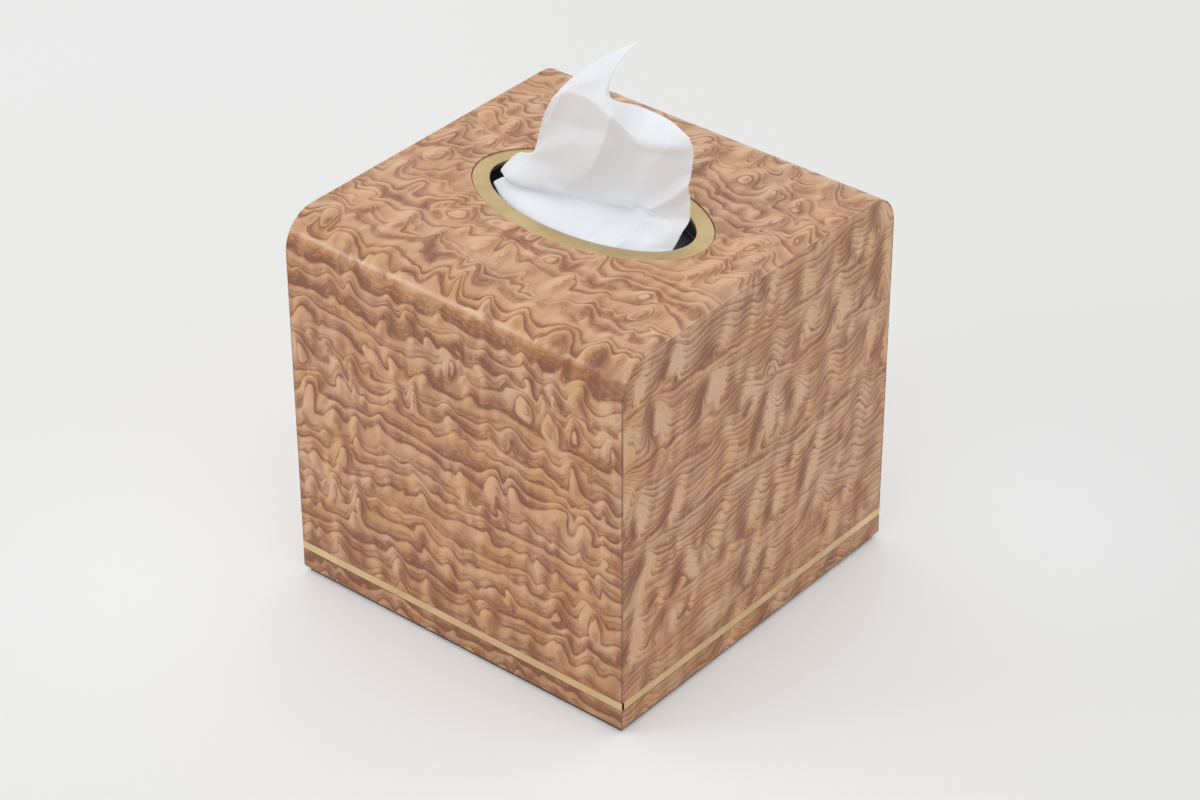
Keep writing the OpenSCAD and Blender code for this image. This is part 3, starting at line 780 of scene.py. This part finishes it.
# Fold lines: the places that each runs through, in columns and rows of the table above, then its
# height in millimetres (above zero it stands towards the front) and its width to each side.
FOLD_LINES = [
    ([(0.0, 10.0), (1.0, 10.0), (2.0, 10.0), (3.0, 10.0)], 0.45, 6.0),
    ([(3.0, 10.0), (3.0, 9.0), (3.0, 8.0), (3.0, 7.2), (2.7, 6.5)], 0.5, 6.0),
    ([(3.1, 9.7), (4.0, 10.0), (5.0, 10.0), (6.0, 10.0)], 0.3, 6.0),
    ([(4.2, 5.85), (4.6, 5.75), (5.0, 5.8)], -4.0, 2.4),
    ([(2.1, 6.15), (2.5, 6.0)], 1.0, 3.0),
    ([(3.6, 6.1), (4.2, 6.3)], 0.9, 3.0),
    ([(0.1, 9.0), (1.0, 9.0), (2.0, 9.0), (3.0, 9.0)], -0.5, 6.0),
    ([(0.45, 8.9), (0.5, 9.5), (0.75, 10.0)], 0.8, 4.0),
    ([(6.0, 7.0), (5.6, 6.6), (5.05, 6.0), (4.8, 5.2), (4.7, 4.4), (4.6, 3.4)], 1.9, 4.5),
    ([(5.1, 5.8), (5.5, 5.8), (5.95, 6.0)], -0.7, 3.5),
    ([(4.1, 5.6), (3.9, 4.6), (3.8, 3.6)], -1.1, 2.6),
    ([(0.9, 7.6), (0.8, 7.0), (0.9, 6.2)], 0.4, 5.0),
    ([(1.2, 7.2), (1.6, 7.9), (1.9, 8.6)], 0.35, 5.0),
    ([(5.0, 9.7), (4.8, 8.6), (4.4, 7.2)], 0.5, 6.0),
    ([(4.2, 7.2), (4.9, 7.9), (5.7, 8.6)], -0.35, 5.0)]


def along_curve(points, t, crease=-1):
    """Smooth curve through the points, at a place that counts them. It breaks at the crease."""
    last = len(points) - 1
    index = min(int(t), last - 1)
    share = t - index
    b, c = points[index], points[index + 1]
    a = points[index - 1] if index not in (0, crease) else 2 * b - c
    d = points[index + 2] if index + 1 not in (last, crease) else 2 * c - b
    return b + share / 2 * ((c - a) + share * ((2 * a - 5 * b + 4 * c - d)
                                              + share * (3 * (b - c) + d - a)))


def sheet_rows(settings):
    """Control places of the sheet, in metres."""
    band = bpy.context.scene.tissue_box.brass.band
    open_half = (RING_HIGH.x - band - settings.fit, RING_HIGH.y - band - settings.fit)
    slot_half = (SLOT_HALF_LENGTH - settings.fit, SLOT_HALF_WIDTH - settings.fit)
    top = COVER_HIGH.z
    depth = top - SHEET_FOOT - 0.35 * MM
    return [np.array([(x * half_length, y * half_width,
                       top + z * (depth if z < 0 else settings.rise)) for x, y, z in row])
            for shares, (half_length, half_width) in (
                (FOOT_SHARES, slot_half), (APRON_SHARES + STANDING_SHARES, open_half))
            for row in shares]


def fold_height(places, at, path, height, width):
    """Height of one fold at each place: a sharp line that fades out to its width."""
    best = np.full(len(places), np.inf)
    for start_at, end_at in zip(path[:-1], path[1:]):
        a, b = at(*start_at), at(*end_at)
        line = b - a
        share = np.clip((places - a) @ line / (line @ line), 0, 1)
        best = np.minimum(best, np.linalg.norm(places - (a + share[:, None] * line), axis=1))
    fade = np.clip(1 - best / (width * MM), 0, 1)
    return height * MM * fade ** 1.6


def build_sheet(settings):
    """Drawn tissue: the folds of the solid, then its sharp fold lines and small wrinkles."""
    rows = sheet_rows(settings)
    last_col, last_row = len(rows[0]) - 1, len(rows) - 1

    def at(u, v):
        column = [along_curve(row, u, CREASE_COLUMN if CREASE_FROM <= index <= CREASE_TO else -1)
                  for index, row in enumerate(rows)]
        sharp, soft = along_curve(column, v, CREASE_ROW), along_curve(column, v)
        share = (CREASE_SOFT - u) / (CREASE_SOFT - CREASE_COLUMN)
        return soft + (sharp - soft) * min(max(share, 0), 1)

    grid = np.array([[at(last_col * i / (ACROSS - 1), last_row * j / (UPWARD - 1))
                      for i in range(ACROSS)] for j in range(UPWARD)])
    normals = np.cross(np.gradient(grid, axis=1), np.gradient(grid, axis=0))
    normals /= np.linalg.norm(normals, axis=2)[..., None] + 1e-12
    places, outwards = grid.reshape(-1, 3), normals.reshape(-1, 3)
    lift = np.zeros(len(places))
    for path, height, width in FOLD_LINES:
        lift += fold_height(places, at, path, height, width)
    for index, place in enumerate(places):
        spot = Vector(place)
        lift[index] += 0.22 * MM * noise.noise(spot * 95)
        lift[index] += 0.35 * MM * (abs(noise.noise(spot * 60 + Vector((4, 1, 7)))) - 0.2)
    places = places + outwards * lift[:, None]
    faces = [(j * ACROSS + i, j * ACROSS + i + 1, (j + 1) * ACROSS + i + 1, (j + 1) * ACROSS + i)
             for j in range(UPWARD - 1) for i in range(ACROSS - 1)]
    mesh = bpy.data.meshes.new("drawn_tissue")
    mesh.from_pydata([tuple(p) for p in places], [], faces)
    obj = bpy.data.objects.new("drawn_tissue", mesh)
    bpy.context.scene.collection.objects.link(obj)
    applied(obj, "SOLIDIFY", thickness=settings.thickness, offset=0)
    smooth_by_angle(obj, 35)
    return obj


# Plain materials

def grain_group():
    """Fine even grain, shared by the cards, felts, boards and metals."""
    tree, w, given, result = new_group("Fine grain", ("Place", "Size", "Contrast"), ("Value", "Height"))
    place = w.node("ShaderNodeVectorMath", {0: given["Place"], "Scale": w.ratio(1 / MM, given["Size"])},
                   operation="SCALE").outputs[0]
    fine = w.cloud(place, detail=4.0, roughness=0.65)
    broad = w.cloud(place, scale=0.13, detail=2.0)
    both = w.total(w.scaled(w.less(fine, 0.5), 1.4), w.scaled(w.less(broad, 0.5), 0.7))
    w.feeds(result, Value=w.total(1.0, w.scaled(both, given["Contrast"])), Height=fine)
    return tree


def grained(w, place, size, contrast):
    """Places the fine grain, at a size in mm, and gives its outputs."""
    tree = bpy.data.node_groups.get("Fine grain") or grain_group()
    return w.group(tree, Place=place, Size=size, Contrast=contrast)


def grained_material(name, tone, size, contrast, bump, **values):
    """Plain material with the fine grain in its colour and surface. The bump is a strength and a
    distance."""
    material, w, shader = new_material(name, **values)
    made = grained(w, w.object_place(), size, contrast)
    w.feeds(shader, Base_Color=w.greyed(tone, made["Value"]))
    bumped(w, shader, made["Height"], *bump)
    return material


def brass_material(name, settings, bright, dull):
    """Satin brass: fine scratched grain, a little warmer and duller in patches."""
    material, w, shader = new_material(name, Metallic=1.0, Roughness=settings.roughness)
    place = w.object_place()
    made = grained(w, place, 0.5, 0.12)
    tone = w.mixed(w.span(w.cloud(place, scale=90.0, detail=2.0), 0.35, 0.65), bright, dull)
    scratches = w.scaled(w.less(made["Height"], 0.5), 0.25)
    w.feeds(shader, Base_Color=w.greyed(tone, made["Value"]),
            Roughness=w.total(settings.roughness, scratches))
    bumped(w, shader, made["Height"], 0.12, 0.04 * MM)
    return material


def tissue_material(settings):
    """Two-ply paper: soft, with a faint crepe and a painted emission that stands in for light coming
    through.
    """
    material, w, shader = new_material("Paper tissue", Roughness=0.95, Specular_IOR_Level=0.15,
                                       Sheen_Weight=0.1, Emission_Color=settings.tone,
                                       Emission_Strength=settings.painted_glow)
    place = w.object_place()
    cloudy = w.span(w.cloud(place, scale=60.0, detail=2.0), 0.3, 0.7)
    w.feeds(shader, Base_Color=w.mixed(cloudy, settings.shaded, settings.tone))
    bumped(w, shader, w.cloud(place, scale=1400.0, detail=3.0, roughness=0.6), 0.18, 0.12 * MM)
    return material


# Operators

class TISSUEBOX_OT_veneer(bpy.types.Operator):
    """Builds the wrapped veneer and lays the figure on it, the ends and the plinth rails"""
    bl_idname = "tissuebox.veneer"
    bl_label = "Veneer and rails"

    def execute(self, context):
        settings = context.scene.tissue_box.veneer
        wrap, end = veneer_materials(settings)
        finish_piece(build_wrap(settings), "cover", wrap, "wrap_veneer")
        give_nodes(wrap, "front_plinth_rail", "back_plinth_rail")
        give_nodes(end, "left_veneer", "right_veneer", "left_plinth_rail", "right_plinth_rail")
        return {"FINISHED"}


class TISSUEBOX_OT_brass(bpy.types.Operator):
    """Builds the oval ring and finishes the brass line and the magnets"""
    bl_idname = "tissuebox.brass"
    bl_label = "Brass and magnets"

    def execute(self, context):
        settings = context.scene.tissue_box.brass
        brass = brass_material("Satin brass", settings, settings.tone, settings.dull)
        finish_piece(build_ring(settings), "cover", brass, "opening_ring")
        # The strips' lighter brass is painted light
        line = brass_material("Brass line", settings, settings.line_tone_painted_light, settings.line_dull_painted_light)
        give_nodes(line, *(side + "_brass_strip" for side in SIDES))
        nickel = grained_material("Plated magnets", colour("#C4C3C0"), 0.8, 0.1, (0.05, 0.05 * MM),
                                  Metallic=1.0, Roughness=0.3)
        give_nodes(nickel, "rail_magnets", "base_magnets")
        return {"FINISHED"}


class TISSUEBOX_OT_carcass(bpy.types.Operator):
    """Finishes the boards, mouldings and linings, and lays the felts"""
    bl_idname = "tissuebox.carcass"
    bl_label = "Carcass, linings and felt"

    def execute(self, context):
        settings = context.scene.tissue_box.dark
        board = grained_material("Fibreboard", settings.board, 0.5, 0.5, (0.3, 0.1 * MM),
                                 Roughness=0.8)
        moulding = grained_material("Moulding wood", colour("#B08A60"), 1.2, 0.35, (0.2, 0.1 * MM),
                                    Roughness=0.7)
        black = grained_material("Black lacquered board", colour("#0E0E0F"), 0.9, 0.4,
                                 (0.12, 0.1 * MM), Roughness=0.45)
        lining = grained_material("Lining card", settings.lining, 0.35, 0.6, (0.5, 0.1 * MM),
                                  Roughness=0.95, Sheen_Weight=0.3)
        felt = grained_material("Felt", settings.felt, 0.5, 0.8, (0.9, 0.25 * MM), Roughness=1.0,
                                Sheen_Weight=0.4)
        give_nodes(board, *(side + "_panel" for side in SIDES))
        give_nodes(moulding, "front_edge_moulding", "back_edge_moulding")
        give_nodes(black, "top_panel", "base_panel")
        give_nodes(lining, "ceiling_lining", *(side + "_lining" for side in SIDES))
        finish_piece(build_felt("base_felt_pad", *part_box("base_felt")), "base", felt,
                     "base_felt")
        finish_piece(build_felt("rim_felt_frame", *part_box("rim_felt"), strip=2.5 * MM), "cover",
                     felt, "rim_felt")
        return {"FINISHED"}


class TISSUEBOX_OT_refill(bpy.types.Operator):
    """Builds the card carton and the stack of folded sheets in it"""
    bl_idname = "tissuebox.refill"
    bl_label = "Carton and stack"

    def execute(self, context):
        settings = context.scene.tissue_box
        card = grained_material("Carton card", settings.dark.carton, 0.4, 0.45, (0.25, 0.1 * MM),
                                Roughness=0.55)
        finish_piece(build_carton(settings.dark), "base", card, "carton")
        paper = tissue_material(settings.tissue)
        finish_piece(build_stack(settings.tissue), "base", paper, "tissue_stack")
        return {"FINISHED"}


class TISSUEBOX_OT_sheet(bpy.types.Operator):
    """Builds the drawn tissue with its folds"""
    bl_idname = "tissuebox.sheet"
    bl_label = "Drawn tissue"

    def execute(self, context):
        settings = context.scene.tissue_box.tissue
        paper = bpy.data.materials["Paper tissue"]
        obj = finish_piece(build_sheet(settings), "tissue", paper, "tissue_sheet")
        return {"FINISHED"}


# Stage

# Camera of the photograph, from a fit to the cube's corners, in degrees and metres
CAMERA_AZIMUTH, CAMERA_ELEVATION, CAMERA_ROLL = 39.692, 33.798, -0.171
CAMERA_DISTANCE = 1.18308
CAMERA_AIM = Vector((1.88, 1.57, 63.47)) * MM
# Key lamp, low at the front left, whose mirror image lies along the rounded front top edge
KEY_PLACE, KEY_AIM = Vector((-1.18, -1.36, 0.89)), Vector((0, 0, 0.08))
KEY_WIDTH, KEY_HEIGHT = 0.6, 0.24
KEY_TONE = (1, 0.99, 0.98)


def build_camera(settings):
    azimuth, elevation, roll = (math.radians(a) for a in (CAMERA_AZIMUTH, CAMERA_ELEVATION, CAMERA_ROLL))
    back = Vector((math.sin(azimuth) * math.cos(elevation), -math.cos(azimuth) * math.cos(elevation),
                   math.sin(elevation)))
    right = Vector((math.cos(azimuth), math.sin(azimuth), 0))
    up = back.cross(right)
    turned_right = math.cos(roll) * right + math.sin(roll) * up
    turned_up = math.cos(roll) * up - math.sin(roll) * right
    data = bpy.data.cameras.new("Camera")
    data.lens, data.sensor_width = settings.lens, 36
    data.clip_start, data.clip_end = 0.05, 50
    camera = bpy.data.objects.new("Camera", data)
    turn = Matrix((turned_right, turned_up, back)).transposed().to_4x4()
    camera.matrix_world = Matrix.Translation(CAMERA_AIM + back * CAMERA_DISTANCE) @ turn
    bpy.context.scene.collection.objects.link(camera)
    bpy.context.scene.camera = camera


def build_key(settings):
    """Oval area lamp that lights a facing surface to a share of its written colour."""
    away = KEY_PLACE - KEY_AIM
    data = bpy.data.lights.new("Key", "AREA")
    data.shape, data.size, data.size_y, data.color = "ELLIPSE", KEY_WIDTH, KEY_HEIGHT, KEY_TONE
    data.energy = settings.key * math.pi ** 2 * away.length_squared
    lamp = bpy.data.objects.new("Key", data)
    lamp.location = KEY_PLACE
    lamp.rotation_euler = away.to_track_quat("Z", "Y").to_euler()
    bpy.context.scene.collection.objects.link(lamp)


def build_world(settings):
    """Sky that is brightest overhead, and a pale backdrop where it is seen or mirrored."""
    world = bpy.data.worlds.new("Sky")
    bpy.context.scene.world = world
    world.use_nodes = True
    w = Wiring(world.node_tree)
    background = next(n for n in world.node_tree.nodes if n.type == "BACKGROUND").inputs
    height = w.calc("MAXIMUM", w.parts(w.object_place())[2], 0.0)
    light = w.total(settings.horizon, w.scaled(height, settings.zenith - settings.horizon))
    rays = w.node("ShaderNodeLightPath").outputs
    seen = w.calc("MINIMUM", w.total(rays["Is Camera Ray"], rays["Is Glossy Ray"],
                                     rays["Is Transmission Ray"]), 1.0)
    sky = w.mixed(height, settings.low_sky, settings.high_sky)
    w.feeds(background, Color=w.mixed(seen, sky, settings.floor),
            Strength=w.total(w.scaled(light, w.less(1.0, seen)), seen))


def build_floor(settings):
    """Pale floor with painted light close to the foot: a lighter colour and an emission seen only from the
    camera, over the shadow that still falls there.
    """
    floor = primitive("plane", "Floor", (1, 1, 1), size=8, location=(0, 0, 0))
    # The emission is painted light, bluish against the wood's warm bounce
    material, w, shader = new_material("Pale floor", Roughness=0.9, Specular_IOR_Level=0.1,
                                       Emission_Color=(0.86, 0.95, 1.0))
    place = w.object_place()
    cloudy = w.span(w.cloud(place, scale=2.2, detail=3.0), 0.3, 0.7)
    x, y, _ = w.parts(place)
    from_side, from_front = (w.calc("MAXIMUM", w.less(w.calc("ABSOLUTE", value), half), 0.0)
                             for value, half in ((x, COVER_HIGH.x), (y, COVER_HIGH.y)))
    from_foot = w.node("ShaderNodeVectorMath", {0: w.place(from_side, from_front)},
                       operation="LENGTH").outputs["Value"]
    # Painted light: the floor's colour is lighter close to the foot
    near = w.span(from_foot, 0.0, 0.3, 1.0, 0.0)
    far_tone = w.mixed(cloudy, settings.far_floor, settings.floor)
    above = w.less(1.0, w.node("ShaderNodeNewGeometry").outputs["Backfacing"])
    seen = w.scaled(above, w.node("ShaderNodeLightPath").outputs["Is Camera Ray"])
    # Painted light: emission seen only from the camera, fading out from the foot
    painted_glow = w.span(from_foot, 0.0, 0.16, settings.painted_foot_light, 0.0)
    w.feeds(shader, Base_Color=w.mixed(near, far_tone, settings.near_floor_painted_light),
            Emission_Strength=w.scaled(painted_glow, seen))
    give(floor, material)


class TISSUEBOX_OT_stage(bpy.types.Operator):
    """Sets the camera, the key lamp, the sky and the floor"""
    bl_idname = "tissuebox.stage"
    bl_label = "Stage"

    def execute(self, context):
        for build in (build_camera, build_world, build_floor, build_key):
            build(context.scene.tissue_box.stage)
        context.scene.view_settings.view_transform = "Standard"
        return {"FINISHED"}


class TISSUEBOX_PT_panel(bpy.types.Panel):
    """Lists the steps that dress the cover"""
    bl_idname = "TISSUEBOX_PT_panel"
    bl_label = "Tissue Box Cover"
    bl_space_type = "VIEW_3D"
    bl_region_type = "UI"
    bl_category = "Tissue Box"

    def draw(self, context):
        for step in STEPS:
            self.layout.operator(step.bl_idname)


STEPS = (TISSUEBOX_OT_stage, TISSUEBOX_OT_carcass, TISSUEBOX_OT_veneer, TISSUEBOX_OT_brass,
         TISSUEBOX_OT_refill, TISSUEBOX_OT_sheet)
CLASSES = (VeneerSettings, BrassSettings, DarkSettings, TissueSettings, StageSettings,
           TissueBoxSettings, *STEPS, TISSUEBOX_PT_panel)


def register():
    for group in CLASSES:
        bpy.utils.register_class(group)
    bpy.types.Scene.tissue_box = PointerProperty(type=TissueBoxSettings)


def unregister():
    del bpy.types.Scene.tissue_box
    for group in reversed(CLASSES):
        bpy.utils.unregister_class(group)


def main():
    register()
    for step in STEPS:
        kind, name = step.bl_idname.split(".")
        getattr(getattr(bpy.ops, kind), name)()


if __name__ == "__main__":
    main()
